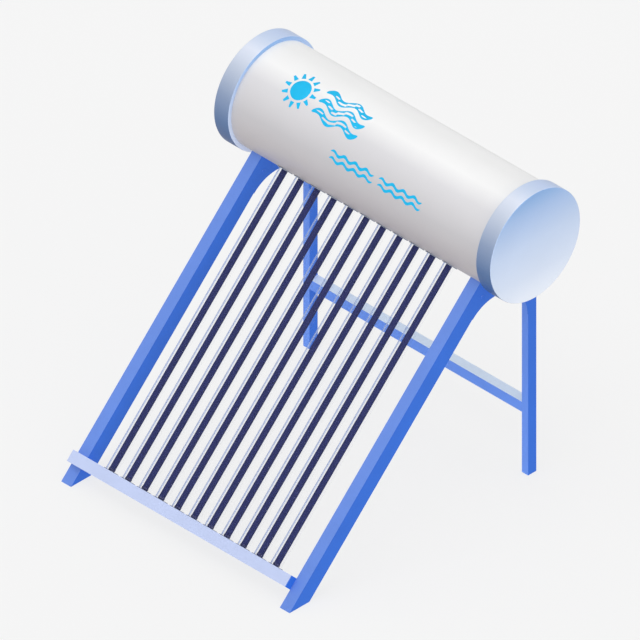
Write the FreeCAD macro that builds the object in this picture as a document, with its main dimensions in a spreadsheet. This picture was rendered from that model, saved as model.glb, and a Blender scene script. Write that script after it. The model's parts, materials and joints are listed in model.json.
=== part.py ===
import FreeCAD, Part
import math
import os

import Sketcher
from FreeCAD import Vector

# Evacuated-tube solar water heater on a sloping stand. Millimetres and degrees.
# X runs along the tank, +Y towards the back, +Z up. The origin is on the ground, under the
# middle of the whole heater. "Slope" is the direction up the tubes; "normal" points out of
# the glazed face. Both side frames are alike: their +X faces are the flush ones.

document = FreeCAD.newDocument("solar_water_heater")

# Driving sizes, one cell each.
SIZES = [
    ("tilt", 45),                # slope of the tubes above the ground
    ("tank_reach", 1594),        # along the slope, from the toe of the legs to the tank axis
    ("frame_width", 1167),       # over both side frames
    ("leg_width", 50),           # front leg, across its web
    ("leg_depth", 72),           # front leg, along its flanges
    ("rear_width", 32),          # rear leg, across its web
    ("rear_depth", 42),          # rear leg, along its flanges
    ("sheet_wall", 2.5),         # rolled sheet of legs and rails
    ("rear_behind", 86.2),       # face of the rear legs behind the tank axis
    ("crossbar_drop", 266),      # underside of the rear crossbar above the ground
    ("crossbar_rise", 44),       # height of the rear crossbar
    ("rail_start", 75),          # tail rail, lower edge along the slope
    ("rail_rise", 47),           # tail rail, width along the slope
    ("rail_proud", 34),          # tail rail, in front of the legs
    ("rail_depth", 84),          # tail rail, front to back
    ("tube_count", 11),
    ("tube_pitch", 84),
    ("tube_radius", 23.5),       # outer glass
    ("absorber_radius", 12),     # inner, coated glass
    ("glass_wall", 1.6),
    ("tube_depth", 8),           # tube axes behind the front face of the legs
    ("tube_tip", 101),           # closed end of the glass, along the slope
    ("absorber_gap", 14),        # from the tip of the glass to the tip of the absorber
    ("tube_mouth", 145),         # open end of the tubes, from the tank axis
    ("shell_radius", 214),
    ("shell_wall", 1),
    ("tank_length", 1413),       # over both end caps
    ("cap_step", 16),            # rim of an end cap outside the shell
    ("cap_band", 74),            # width of the rim of an end cap
    ("cap_wall", 2),
    ("foam", 50),                # insulation around the inner tank
    ("end_foam", 60),            # insulation at each end of the inner tank
    ("vessel_wall", 1.5),        # inner tank sheet
    ("seal_wall", 4),            # rubber around a tube
    ("seal_sleeve", 9),          # how far a seal reaches inside its hole
    ("seal_lip", 4),             # how far a seal's flange stands out beyond its hole
    ("seal_flange", 4),
    ("dust_flange", 2.5),
    ("running_fit", 0.05),       # tube in its seals, ball and stem in the valve
    ("seat_gap", 0.3),           # glass tip above its cup
    ("cup_wall", 3),
    ("cup_flange", 1.5),
    ("saddle_plate", 3),
    ("saddle_width", 46),
    ("pad_thickness", 3),
    ("arch_strap", 31.4),        # plate left between a saddle's cradle and the arch under it
    ("arch_inset", 3),           # blunt ends of the saddle, where the arch meets the legs
    ("tab_gap", 14.8),           # saddle's front tab, below its cradle
    ("flange_start", 60),        # saddle's rear flange, above the end of the arch
    ("tab_length", 34),
    ("tab_height", 60),
    ("tab_overlap", 8),
    ("end_plate", 3),            # upright leaf of the rail brackets and crossbar cleats
    ("bracket_lip", 30),         # leaf under the web of the rail or crossbar
    ("rail_bolt_depth", 27),     # middle of a bracket's two bolts behind the face of the legs
    ("rail_bolt_gap", 22),
    ("bolt_radius", 4),
    ("bolt_head", 7.5),
    ("bolt_head_height", 5),
    ("flush_head_height", 1.5),
    ("nut_height", 6.5),
    ("bolt_tail", 3),            # bolt past its nut
    ("stud_root", 12),           # tank stud inside the shell
    ("foot_plate", 4),
    ("anchor_radius", 6.5),
    ("port_length", 48),         # pipe ports, past the back of the shell
    ("port_radius", 10.5),
    ("port_bore", 7.5),
    ("bore_step", 1),            # wider bore behind the mouth of a port
    ("port_dip", 12),            # port inside the inner tank
    ("port_collar", 20),
    ("collar_height", 4),
    ("port_spread", 380),        # from the middle of the tank to the inlet and the outlet
    ("inlet_drop", 90),          # cold inlet below the tank axis
    ("outlet_rise", 24),         # hot outlet above the tank axis
    ("vent_rise", 10),
    ("vent_cap_wall", 3),
    ("vent_cap_length", 18),
    ("vent_hole", 2),
    ("drain_side", 250),         # drain from the middle of the tank
    ("drain_back", 60),          # drain behind the tank axis
    ("drain_hang", 40),          # ball of the drain valve below the shell
    ("valve_radius", 16),
    ("valve_length", 48),
    ("nozzle_length", 26),
    ("ball_radius", 11),
    ("ball_room", 2),            # wider bore on below the ball
    ("stem_radius", 4),
    ("stem_reach", 30),
    ("boss_radius", 9),
    ("boss_reach", 22),
    ("handle_length", 84),
    ("handle_width", 16),
    ("handle_wall", 3),
    ("handle_gap", 0.5),         # handle off the valve's boss
    ("handle_nut", 7),
]
sheet = document.addObject("Spreadsheet::Sheet", "dim")
for row, (alias, size) in enumerate(SIZES, start=1):
    sheet.set(f"A{row}", alias)
    sheet.set(f"B{row}", str(size))
    sheet.setAlias(f"B{row}", alias)
document.recompute()

# Places worked out from the cells. Runs are measured back from the toe of the legs.
TANK_RUN = "(dim.tank_reach * cos(dim.tilt) + dim.tube_depth * sin(dim.tilt))"
TANK_Z = "(dim.tank_reach * sin(dim.tilt) - dim.tube_depth * cos(dim.tilt))"
PAD_RADIUS = "(dim.shell_radius + dim.pad_thickness)"
CRADLE_RADIUS = f"({PAD_RADIUS} + dim.saddle_plate)"
# The arch under a saddle touches a line along each leg. Its middle moves from where the lines
# cross by 1 back and ARCH_FALL down for each millimetre of radius, and the radius is where it
# clears the cradle by the strap: ARCH_FALL^2 r^2 - 2 ARCH_B r + ARCH_C = 0.
ARCH_FALL = "((1 + sin(dim.tilt)) / cos(dim.tilt))"
CROSS_RUN = "(dim.rear_run - dim.arch_inset)"
CROSS_Z = f"({CROSS_RUN} * tan(dim.tilt) - (dim.leg_depth + dim.arch_inset) / cos(dim.tilt))"
ARCH_ROOM = f"({CRADLE_RADIUS} + dim.arch_strap)"
ARCH_B = f"({CROSS_RUN} - {TANK_RUN} + {ARCH_FALL} * ({CROSS_Z} - {TANK_Z}) + {ARCH_ROOM})"
ARCH_C = f"(({CROSS_RUN} - {TANK_RUN}) ^ 2 + ({CROSS_Z} - {TANK_Z}) ^ 2 - {ARCH_ROOM} ^ 2)"
# Sizes that follow from others, with cells of their own.
FOLLOWING = [
    ("rear_run", f"{TANK_RUN} + dim.rear_behind"),
    ("cap_radius", "dim.shell_radius + dim.cap_step"),
    ("port_reach", "dim.shell_radius + dim.port_length"),
    ("drain_drop", "dim.shell_radius + dim.drain_hang"),
    ("arch_radius", f"({ARCH_B} + sqrt({ARCH_B} ^ 2 - {ARCH_FALL} ^ 2 * {ARCH_C})) / {ARCH_FALL} ^ 2"),
]
for row, (alias, size) in enumerate(FOLLOWING, start=len(SIZES) + 1):
    sheet.set(f"A{row}", alias)
    sheet.set(f"B{row}", "=" + size.replace("dim.", ""))
    sheet.setAlias(f"B{row}", alias)
    document.recompute()
TOE_Y = f"(-({TANK_RUN} + dim.port_reach) / 2)"
TANK_Y = f"({TOE_Y} + {TANK_RUN})"
REAR_Y = f"({TOE_Y} + dim.rear_run)"
# Inner faces of the two front legs, and the flush +X face of each side frame.
LEFT_INNER = "(dim.leg_width - dim.frame_width / 2)"
RIGHT_INNER = "(dim.frame_width / 2 - dim.leg_width)"
FLUSH = {"left": LEFT_INNER, "right": "(dim.frame_width / 2)"}
REAR_RIGHT_INNER = "(dim.frame_width / 2 - dim.rear_width)"
RAIL_TOP = "(dim.rail_start + dim.rail_rise)"
RAIL_BACK = "(dim.rail_depth - dim.rail_proud)"
# Middle of the arch under a saddle.
ARCH_RUN = f"({CROSS_RUN} - dim.arch_radius)"
ARCH_Z = f"({CROSS_Z} - dim.arch_radius * {ARCH_FALL})"
ARCH_ALONG = f"({ARCH_RUN} * cos(dim.tilt) + {ARCH_Z} * sin(dim.tilt))"
# Lower end of a saddle's front tab along the slope, and of its rear flange above the ground.
CRADLE_ALONG = f"(dim.tank_reach - sqrt({CRADLE_RADIUS} ^ 2 - (dim.leg_depth - dim.tube_depth) ^ 2))"
TAB_ALONG = f"({CRADLE_ALONG} - dim.tab_gap - dim.tab_height)"
FLANGE_Z = f"({ARCH_Z} + dim.flange_start)"
VESSEL_RADIUS = "(dim.shell_radius - dim.shell_wall - dim.foam)"
SHELL_HALF = "(dim.tank_length / 2 - dim.cap_wall)"
VESSEL_HALF = f"({SHELL_HALF} - dim.end_foam)"
SEAL_BORE = "(dim.tube_radius + dim.running_fit)"
SEAL_RADIUS = "(dim.tube_radius + dim.seal_wall)"
FLANGE_RADIUS = f"({SEAL_RADIUS} + dim.seal_lip)"
CUP_RADIUS = "(dim.tube_radius + dim.seat_gap + dim.cup_wall)"
TUBE_LENGTH = "(dim.tank_reach - dim.tube_mouth - dim.tube_tip)"
LEVEL = "rotation(vector(1; 0; 0); 0)"
UP_SLOPE = "rotation(vector(1; 0; 0); dim.tilt)"
ALONG_TUBE = "rotation(vector(1; 0; 0); dim.tilt - 90)"
UPRIGHT = "rotation(vector(1; 0; 0); 90)"
TURNED_ROUND = "rotation(vector(0; 0; 1); 180)"
BACKWARD = "rotation(vector(1; 0; 0); -90)"
DOWNWARD = "rotation(vector(1; 0; 0); 180)"
DOWN_TUBE = "rotation(vector(1; 0; 0); dim.tilt + 90)"
TO_RIGHT = "rotation(vector(0; 1; 0); 90)"
TO_LEFT = "rotation(vector(0; 1; 0); -90)"
ACROSS_SLOPE = "rotation(vector(1; 0; 0); dim.tilt) * rotation(vector(1; 1; 1); 240)"
ACROSS_BACK = "rotation(vector(1; 0; 0); 90) * rotation(vector(0; 0; 1); -90)"
# Along the slope and out of the glazed face, for the two bolts at each end of the tail rail.
RAIL_BOLTS = [
    ("(dim.rail_start + (dim.rail_rise - dim.sheet_wall) / 2)",
     f"({side} * dim.rail_bolt_gap / 2 - dim.rail_bolt_depth)")
    for side in (1, -1)
]
# X and Z of the ports in the back of the tank, from the middle of its axis.
PORTS = {
    "cold_inlet": ("-dim.port_spread", "-dim.inlet_drop"),
    "hot_outlet": ("dim.port_spread", "dim.outlet_rise"),
    "air_vent": ("0", "dim.vent_rise"),
}
# Tank studs, from the flush face of a side frame; foot of the valve stem inside its ball.
STUD_X = "(-dim.saddle_plate - (dim.saddle_width - dim.saddle_plate) / 2)"
STEM_FOOT = "((dim.port_bore + dim.ball_radius) / 2)"
PIECES = []


def number(expression):
    """The value of an expression over the cells."""
    return float(sheet.evalExpression(expression))


def place(item, x="0", y="0", z="0", turn=LEVEL):
    """Binds where an object stands and how it is turned."""
    item.setExpression("Placement", f"placement(vector({x}; {y}; {z}); {turn})")


def finish_piece(item, label):
    """Names a sub-part, which also names its file."""
    item.Label = label
    PIECES.append(item)
    return item


def slope_point(along, out):
    """World Y and Z of a point a distance up the slope and a distance out of the glazed face."""
    y = f"({TOE_Y} + ({along}) * cos(dim.tilt) - ({out}) * sin(dim.tilt))"
    z = f"(({along}) * sin(dim.tilt) + ({out}) * cos(dim.tilt))"
    return y, z


def side_view(along, behind):
    """Run from the toe, and height, of a point up the slope and behind the face of the legs."""
    return (f"({along} * cos(dim.tilt) + {behind} * sin(dim.tilt))",
            f"({along} * sin(dim.tilt) - {behind} * cos(dim.tilt))")


def tube_x(index):
    """X of a tube's axis, counted from 0 at the left."""
    return f"(({index} - (dim.tube_count - 1) / 2) * dim.tube_pitch)"


# --- Sketched bodies ----------------------------------------------------------------------

def new_body(name):
    return document.addObject("PartDesign::Body", name)


def origin_feature(body, role):
    return next(item for item in body.Origin.OriginFeatures if item.Role == role)


def new_sketch(body, role, lift=None):
    """Sketch on one of the body's origin planes, lifted along the plane's normal."""
    sketch = body.newObject("Sketcher::SketchObject", f"{body.Name}_sketch")
    sketch.AttachmentSupport = (origin_feature(body, role), [""])
    sketch.MapMode = "FlatFace"
    if lift:
        sketch.setExpression("AttachmentOffset.Base.z", lift)
    return sketch


def hold(sketch, edge, vertex, across, up):
    """Holds one vertex of an edge at two bound distances from the sketch origin."""
    for kind, axis, expression in (("DistanceX", -2, across), ("DistanceY", -1, up)):
        if expression == "0":
            sketch.addConstraint(Sketcher.Constraint("PointOnObject", edge, vertex, axis))
            continue
        value = number(expression)
        index = sketch.addConstraint(Sketcher.Constraint(kind, -1, 1, edge, vertex, value))
        sketch.setExpression(f"Constraints[{index}]", expression)


def bent_edge(start, end, radius, side):
    """Arc between two points; side is +1 when it turns left from start to end."""
    middle = (start + end) / 2
    half = (end - start) / 2
    rise = math.sqrt(max(radius ** 2 - half.Length ** 2, 0))
    left = Vector(-half.y, half.x, 0).normalize()
    centre = middle + left * rise * side
    first, last = (start, end) if side > 0 else (end, start)
    angles = [math.atan2(p.y - centre.y, p.x - centre.x) for p in (first, last)]
    return Part.ArcOfCircle(Part.Circle(centre, Vector(0, 0, 1), radius), *angles)


def outline(sketch, corners, arcs=None):
    """Closed outline; arcs maps the corner an edge starts at to its (radius, side)."""
    arcs = arcs or {}
    base = sketch.GeometryCount
    points = [Vector(number(across), number(up), 0) for across, up in corners]
    ends = []
    for index, start in enumerate(points):
        end = points[(index + 1) % len(points)]
        if index in arcs:
            radius, side = arcs[index]
            sketch.addGeometry(bent_edge(start, end, number(radius), side), False)
            ends.append((1, 2) if side > 0 else (2, 1))
        else:
            sketch.addGeometry(Part.LineSegment(start, end), False)
            ends.append((1, 2))
    for index, (across, up) in enumerate(corners):
        following = (index + 1) % len(corners)
        sketch.addConstraint(Sketcher.Constraint(
            "Coincident", base + index, ends[index][1], base + following, ends[following][0]))
        hold(sketch, base + index, ends[index][0], across, up)
    for index, (radius, side) in arcs.items():
        bound = sketch.addConstraint(Sketcher.Constraint("Radius", base + index, number(radius)))
        sketch.setExpression(f"Constraints[{bound}]", radius)


def circle(sketch, across, up, radius):
    edge = sketch.GeometryCount
    centre = Vector(number(across), number(up), 0)
    sketch.addGeometry(Part.Circle(centre, Vector(0, 0, 1), number(radius)), False)
    hold(sketch, edge, 3, across, up)
    bound = sketch.addConstraint(Sketcher.Constraint("Radius", edge, number(radius)))
    sketch.setExpression(f"Constraints[{bound}]", radius)


def pad(body, sketch, length, reverse=False):
    feature = body.newObject("PartDesign::Pad", f"{body.Name}_pad")
    feature.Profile = sketch
    feature.Reversed = reverse
    feature.setExpression("Length", length)
    return feature


def cut_through(body, sketch):
    """Pocket through everything on both sides of the sketch."""
    feature = body.newObject("PartDesign::Pocket", f"{body.Name}_cut")
    feature.Profile = sketch
    feature.Type = "ThroughAll"
    feature.Midplane = True
    return feature


def cut_to(body, sketch, length, reverse=False):
    feature = body.newObject("PartDesign::Pocket", f"{body.Name}_cut")
    feature.Profile = sketch
    feature.Reversed = reverse
    feature.setExpression("Length", length)
    return feature


def revolve(body, sketch, axis):
    feature = body.newObject("PartDesign::Revolution", f"{body.Name}_turn")
    feature.Profile = sketch
    feature.ReferenceAxis = (sketch, [axis])
    feature.Angle = 360
    return feature


def repeat(body, feature, role, length, count):
    """Repeats a feature in a row; the body then ends with the pattern."""
    pattern = body.newObject("PartDesign::LinearPattern", f"{body.Name}_row")
    pattern.Originals = [feature]
    pattern.Direction = (origin_feature(body, role), [""])
    pattern.setExpression("Length", length)
    pattern.setExpression("Occurrences", count)
    body.Tip = pattern
    return pattern


# --- Primitives and booleans --------------------------------------------------------------

def block(size_x, size_y, size_z, *where):
    box = document.addObject("Part::Box", "block")
    for side, expression in (("Length", size_x), ("Width", size_y), ("Height", size_z)):
        box.setExpression(side, expression)
    place(box, *where)
    return box


def rod(radius, length, *where):
    cylinder = document.addObject("Part::Cylinder", "rod")
    cylinder.setExpression("Radius", radius)
    cylinder.setExpression("Height", length)
    place(cylinder, *where)
    return cylinder


def hexagon(radius, length, *where):
    prism = document.addObject("Part::Prism", "hexagon")
    prism.Polygon = 6
    prism.setExpression("Circumradius", radius)
    prism.setExpression("Height", length)
    place(prism, *where)
    return prism


def join(shapes, name="join"):
    union = document.addObject("Part::MultiFuse", name)
    union.Shapes = shapes
    return union


def group(shapes, name):
    """Separate solids kept as one sub-part."""
    compound = document.addObject("Part::Compound", name)
    compound.Links = shapes
    return compound


def subtract(base, tool, name="remainder"):
    cut = document.addObject("Part::Cut", name)
    cut.Base = base
    cut.Tool = tool
    return cut


# --- Stand ----------------------------------------------------------------------------------


def channel(name, width, depth, length):
    """U channel: web at local z = 0, flanges towards -z, flush side at x = 0, run along +y."""
    wall = "dim.sheet_wall"
    body = new_body(name)
    section = new_sketch(body, "XZ_Plane")
    outline(section, [
        ("0", "0"),
        (f"-{width}", "0"),
        (f"-{width}", f"-{depth}"),
        (f"{wall} - {width}", f"-{depth}"),
        (f"{wall} - {width}", f"-{wall}"),
        (f"-{wall}", f"-{wall}"),
        (f"-{wall}", f"-{depth}"),
        ("0", f"-{depth}"),
    ])
    pad(body, section, length, reverse=True)
    return body


def flange_holes(body, lift, centres):
    """Bolt holes through one flange of a channel; the lift is that flange's outer +X side."""
    holes = new_sketch(body, "YZ_Plane", lift)
    for across, up in centres:
        circle(holes, across, up, "dim.bolt_radius")
    cut_to(body, holes, "dim.sheet_wall")


def front_leg(side):
    """Sloping leg, cut level at the ground and hollowed to the tank at the top."""
    body = channel(f"front_leg_{side}", "dim.leg_width", "dim.leg_depth", "dim.tank_reach")
    ground = new_sketch(body, "YZ_Plane")
    outline(ground, [
        ("0", "0"),
        ("dim.leg_depth / tan(dim.tilt)", "-dim.leg_depth"),
        ("-dim.leg_depth", "-dim.leg_depth"),
        ("-dim.leg_depth", "0"),
    ])
    cut_through(body, ground)
    seat = new_sketch(body, "YZ_Plane")
    circle(seat, "dim.tank_reach", "-dim.tube_depth", "dim.shell_radius")
    cut_through(body, seat)
    flange_holes(body, "0", [(f"{TAB_ALONG} + dim.tab_height / 2", "dim.tab_length / 2 - dim.leg_depth")])
    inner = "0" if side == "left" else "dim.sheet_wall - dim.leg_width"
    flange_holes(body, inner, RAIL_BOLTS)
    place(body, FLUSH[side], TOE_Y, "0", UP_SLOPE)
    return finish_piece(body, f"front_leg_{side}")


def rear_leg(side):
    """Upright leg, hollowed to the tank at the top."""
    body = channel(f"rear_leg_{side}", "dim.rear_width", "dim.rear_depth", TANK_Z)
    seat = new_sketch(body, "YZ_Plane")
    circle(seat, TANK_Z, f"dim.rear_run - {TANK_RUN}", "dim.shell_radius")
    cut_through(body, seat)
    inner = "0" if side == "left" else "dim.sheet_wall - dim.rear_width"
    flange_holes(body, inner, [("dim.crossbar_drop + dim.crossbar_rise / 2", "-dim.rear_depth / 2")])
    web_hole = new_sketch(body, "XY_Plane")
    circle(web_hole, "-dim.rear_width / 2", f"{FLANGE_Z} + dim.tab_height / 2", "dim.bolt_radius")
    cut_to(body, web_hole, "dim.sheet_wall")
    place(body, FLUSH[side], REAR_Y, "0", UPRIGHT)
    return finish_piece(body, f"rear_leg_{side}")


def saddle_region(body):
    """Side view of the plate between the two legs of a frame, from the arch to the tank axis."""
    back_run = "dim.leg_depth * sin(dim.tilt)"
    back_drop = "dim.leg_depth * cos(dim.tilt)"
    nose_run = "(dim.leg_depth + dim.arch_inset) * sin(dim.tilt)"
    nose_drop = "(dim.leg_depth + dim.arch_inset) * cos(dim.tilt)"
    region = new_sketch(body, "YZ_Plane")
    outline(region, [
        (f"{ARCH_ALONG} * cos(dim.tilt) + {back_run}", f"{ARCH_ALONG} * sin(dim.tilt) - {back_drop}"),
        (f"{ARCH_ALONG} * cos(dim.tilt) + {nose_run}", f"{ARCH_ALONG} * sin(dim.tilt) - {nose_drop}"),
        ("dim.rear_run - dim.arch_inset", ARCH_Z),
        ("dim.rear_run", ARCH_Z),
        ("dim.rear_run", TANK_Z),
        (f"dim.tank_reach * cos(dim.tilt) + {back_run}",
         f"dim.tank_reach * sin(dim.tilt) - {back_drop}"),
    ], arcs={1: ("dim.arch_radius", -1)})
    pad(body, region, "dim.saddle_width", reverse=True)


def around_tank(body, radius, lift=None):
    """Sketch of everything outside a circle about the tank axis."""
    sketch = new_sketch(body, "YZ_Plane", lift)
    outline(sketch, [
        ("0", "0"),
        (f"2 * {TANK_RUN}", "0"),
        (f"2 * {TANK_RUN}", f"2 * {TANK_Z}"),
        ("0", f"2 * {TANK_Z}"),
    ])
    circle(sketch, TANK_RUN, TANK_Z, radius)
    return sketch


def tank_seat(body, radius):
    """Hollows a body of the side frame to a circle about the tank axis."""
    sketch = new_sketch(body, "YZ_Plane")
    circle(sketch, TANK_RUN, TANK_Z, radius)
    cut_through(body, sketch)


def stud_hole(body):
    """Upright hole for the tank stud, under the tank axis."""
    sketch = new_sketch(body, "XY_Plane")
    circle(sketch, STUD_X, TANK_RUN, "dim.bolt_radius")
    cut_through(body, sketch)


def saddle(side):
    """Arched side plate with a bent-in cradle strip, a tab in the front leg and a rear flange."""
    body = new_body(f"saddle_{side}")
    saddle_region(body)
    tank_seat(body, PAD_RADIUS)
    hollow = around_tank(body, CRADLE_RADIUS, "-dim.saddle_plate")
    cut_to(body, hollow, "dim.saddle_width")
    stud_hole(body)

    tab = new_sketch(body, "YZ_Plane", "-dim.sheet_wall")
    deep = "(dim.leg_depth - dim.tab_length)"
    shallow = "(dim.leg_depth + dim.tab_overlap)"
    outline(tab, [
        (f"{along} * cos(dim.tilt) + {out} * sin(dim.tilt)",
         f"{along} * sin(dim.tilt) - {out} * cos(dim.tilt)")
        for along, out in ((TAB_ALONG, deep), (TAB_ALONG, shallow),
                           (f"({TAB_ALONG} + dim.tab_height)", shallow),
                           (f"({TAB_ALONG} + dim.tab_height)", deep))
    ])
    circle(tab, *side_view(f"({TAB_ALONG} + dim.tab_height / 2)", "(dim.leg_depth - dim.tab_length / 2)"),
           "dim.bolt_radius")
    pad(body, tab, "dim.saddle_plate", reverse=True)

    flange = new_sketch(body, "YZ_Plane")
    outline(flange, [
        ("dim.rear_run - dim.saddle_plate", FLANGE_Z),
        ("dim.rear_run", FLANGE_Z),
        ("dim.rear_run", f"{FLANGE_Z} + dim.tab_height"),
        ("dim.rear_run - dim.saddle_plate", f"{FLANGE_Z} + dim.tab_height"),
    ])
    pad(body, flange, "dim.rear_width", reverse=True)
    rear_hole = new_sketch(body, "XZ_Plane", "-dim.rear_run")
    circle(rear_hole, "-dim.rear_width / 2", f"{FLANGE_Z} + dim.tab_height / 2", "dim.bolt_radius")
    cut_to(body, rear_hole, "2 * dim.saddle_plate", reverse=True)
    place(body, FLUSH[side], TOE_Y)
    return finish_piece(body, f"saddle_{side}")


def saddle_pad(side):
    """Rubber strip between the cradle and the shell."""
    body = new_body(f"saddle_pad_{side}")
    saddle_region(body)
    tank_seat(body, "dim.shell_radius")
    cut_through(body, around_tank(body, PAD_RADIUS))
    stud_hole(body)
    place(body, FLUSH[side], TOE_Y)
    return finish_piece(body, f"saddle_pad_{side}")


def rear_crossbar():
    """Channel between the rear legs, flush with their faces and open at the back."""
    body = channel("rear_crossbar", "dim.crossbar_rise", "dim.rear_depth",
                   f"{REAR_RIGHT_INNER} - {LEFT_INNER}")
    place(body, LEFT_INNER, REAR_Y, "dim.crossbar_drop", ACROSS_BACK)
    return finish_piece(body, "rear_crossbar")


def tail_rail():
    """Channel that holds the tail cups; it laps over the left leg and butts the right one."""
    body = channel("tail_rail", "dim.rail_depth", "dim.rail_rise",
                   "dim.frame_width - dim.leg_width - dim.end_plate")
    notch = new_sketch(body, "XY_Plane")
    outline(notch, [
        ("-dim.rail_proud", "0"),
        ("-dim.rail_proud", "dim.leg_width"),
        ("-dim.rail_depth", "dim.leg_width"),
        ("-dim.rail_depth", "0"),
    ])
    cut_through(body, notch)
    hole = new_sketch(body, "XY_Plane")
    circle(hole, "-(dim.rail_proud + dim.tube_depth)", f"dim.frame_width / 2 + {tube_x(0)}", CUP_RADIUS)
    first = cut_to(body, hole, "2 * dim.sheet_wall")
    repeat(body, first, "Y_Axis", "(dim.tube_count - 1) * dim.tube_pitch", "dim.tube_count")
    place(body, "-dim.frame_width / 2", *slope_point(RAIL_TOP, "dim.rail_proud"), ACROSS_SLOPE)
    return finish_piece(body, "tail_rail")


def bolt_tools(length, centres, x):
    """Rods along X through a bracket's bolt holes."""
    return [rod("dim.bolt_radius", length, x, across, up, TO_RIGHT) for across, up in centres]


def rail_bracket(side):
    """Angle: one leaf against a leg's inner face, the other under the web of the rail."""
    under_web = f"({RAIL_TOP} - dim.sheet_wall - dim.end_plate)"
    inside = "(dim.rail_depth - 2 * dim.sheet_wall)"
    lip_start = f"(dim.sheet_wall - {RAIL_BACK})"
    if side == "left":
        leaf_x = LEFT_INNER
        lip_x = LEFT_INNER
        leaf = block("dim.end_plate", "dim.rail_rise - dim.sheet_wall", inside,
                     leaf_x, "dim.rail_start", lip_start)
    else:
        leaf_x = f"({RIGHT_INNER} - dim.end_plate)"
        lip_x = f"({RIGHT_INNER} - dim.bracket_lip)"
        leaf = block("dim.end_plate", "dim.rail_rise", "dim.rail_depth",
                     leaf_x, "dim.rail_start", f"-{RAIL_BACK}")
    lip = block("dim.bracket_lip", "dim.end_plate", inside, lip_x, under_web, lip_start)
    holes = bolt_tools("dim.end_plate", RAIL_BOLTS, leaf_x)
    bracket = subtract(join([leaf, lip]), join(holes), f"rail_bracket_{side}")
    place(bracket, "0", TOE_Y, "0", UP_SLOPE)
    return finish_piece(bracket, f"rail_bracket_{side}")


def crossbar_cleats():
    """Two angles that hold the ends of the crossbar to the rear legs."""
    inside = "(dim.crossbar_rise - 2 * dim.sheet_wall)"
    depth = "(dim.rear_depth - dim.sheet_wall)"
    base = "(dim.crossbar_drop + dim.sheet_wall)"
    ceiling = "(dim.crossbar_drop + dim.crossbar_rise - dim.sheet_wall - dim.end_plate)"
    middle = ("dim.rear_depth / 2", "dim.crossbar_drop + dim.crossbar_rise / 2")
    cleats = []
    for leaf_x, lip_x in ((LEFT_INNER, LEFT_INNER),
                          (f"({REAR_RIGHT_INNER} - dim.end_plate)",
                           f"({REAR_RIGHT_INNER} - dim.bracket_lip)")):
        leaf = block("dim.end_plate", depth, inside, leaf_x, "dim.sheet_wall", base)
        lip = block("dim.bracket_lip", depth, "dim.end_plate", lip_x, "dim.sheet_wall", ceiling)
        hole = bolt_tools("dim.end_plate", [middle], leaf_x)[0]
        cleats.append(subtract(join([leaf, lip]), hole))
    pair = group(cleats, "crossbar_cleats")
    place(pair, "0", REAR_Y)
    return finish_piece(pair, "crossbar_cleats")


def foot_plate(where, side):
    """Plate inside the foot of a leg, with its anchor hole."""
    if where == "front":
        width = "dim.leg_width"
        start = "(dim.sheet_wall / sin(dim.tilt) + dim.foot_plate / tan(dim.tilt))"
        length = f"(dim.leg_depth / sin(dim.tilt) - {start})"
        base = TOE_Y
    else:
        width = "dim.rear_width"
        start = "dim.sheet_wall"
        length = "(dim.rear_depth - dim.sheet_wall)"
        base = REAR_Y
    plate = block(f"{width} - 2 * dim.sheet_wall", length, "dim.foot_plate",
                  f"dim.sheet_wall - {width}", start)
    hole = rod("dim.anchor_radius", "dim.foot_plate", f"-{width} / 2", f"{start} + {length} / 2")
    foot = subtract(plate, hole, f"foot_plate_{where}_{side}")
    place(foot, FLUSH[side], base)
    return finish_piece(foot, f"foot_plate_{where}_{side}")


def bolt(x, y, z, turn, head_height="dim.bolt_head_height"):
    """Hexagon bolt: the seat of its head at the given point, its shank along the turned z."""
    length = "dim.sheet_wall + dim.end_plate + dim.nut_height + dim.bolt_tail"
    head = hexagon("dim.bolt_head", head_height, "0", "0", f"-{head_height}")
    fastener = join([head, rod("dim.bolt_radius", length)])
    place(fastener, x, y, z, turn)
    return fastener


def nut(x, y, z, turn, grip="(dim.sheet_wall + dim.end_plate)"):
    """Nut a grip away from the point where its bolt is seated."""
    fastener = subtract(hexagon("dim.bolt_head", "dim.nut_height", "0", "0", grip),
                        rod("dim.bolt_radius", "dim.nut_height", "0", "0", grip))
    place(fastener, x, y, z, turn)
    return fastener


def frame_fasteners():
    """Bolts of the rail brackets, the cleats and the saddles, and all the nuts of the stand."""
    rail = [slope_point(along, out) for along, out in RAIL_BOLTS]
    cleat = (f"{REAR_Y} + dim.rear_depth / 2", "dim.crossbar_drop + dim.crossbar_rise / 2")
    tab = slope_point(f"({TAB_ALONG} + dim.tab_height / 2)", "(dim.tab_length / 2 - dim.leg_depth)")
    seats = []
    for y, z in rail:
        seats.append((f"{LEFT_INNER} + dim.end_plate", y, z, TO_LEFT))
        seats.append((f"{RIGHT_INNER} - dim.end_plate", y, z, TO_RIGHT))
    seats.append((f"{LEFT_INNER} + dim.end_plate", *cleat, TO_LEFT))
    seats.append((f"{REAR_RIGHT_INNER} - dim.end_plate", *cleat, TO_RIGHT))
    flush_seats = [(face, *tab, TO_LEFT) for face in FLUSH.values()]
    web_seats = [(f"{face} - dim.rear_width / 2", f"{REAR_Y} - dim.saddle_plate",
                  f"{FLANGE_Z} + dim.tab_height / 2", BACKWARD) for face in FLUSH.values()]
    bolts = [bolt(*seat) for seat in seats + web_seats]
    bolts += [bolt(*seat, "dim.flush_head_height") for seat in flush_seats]
    nuts = [nut(*seat) for seat in seats + web_seats + flush_seats]
    nuts += [nut(f"{face} + {STUD_X}", TANK_Y, TANK_Z, DOWNWARD, CRADLE_RADIUS) for face in FLUSH.values()]
    finish_piece(group(bolts, "frame_bolts"), "frame_bolts")
    finish_piece(group(nuts, "frame_nuts"), "frame_nuts")


# --- Tubes and what holds them ------------------------------------------------------------

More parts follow.
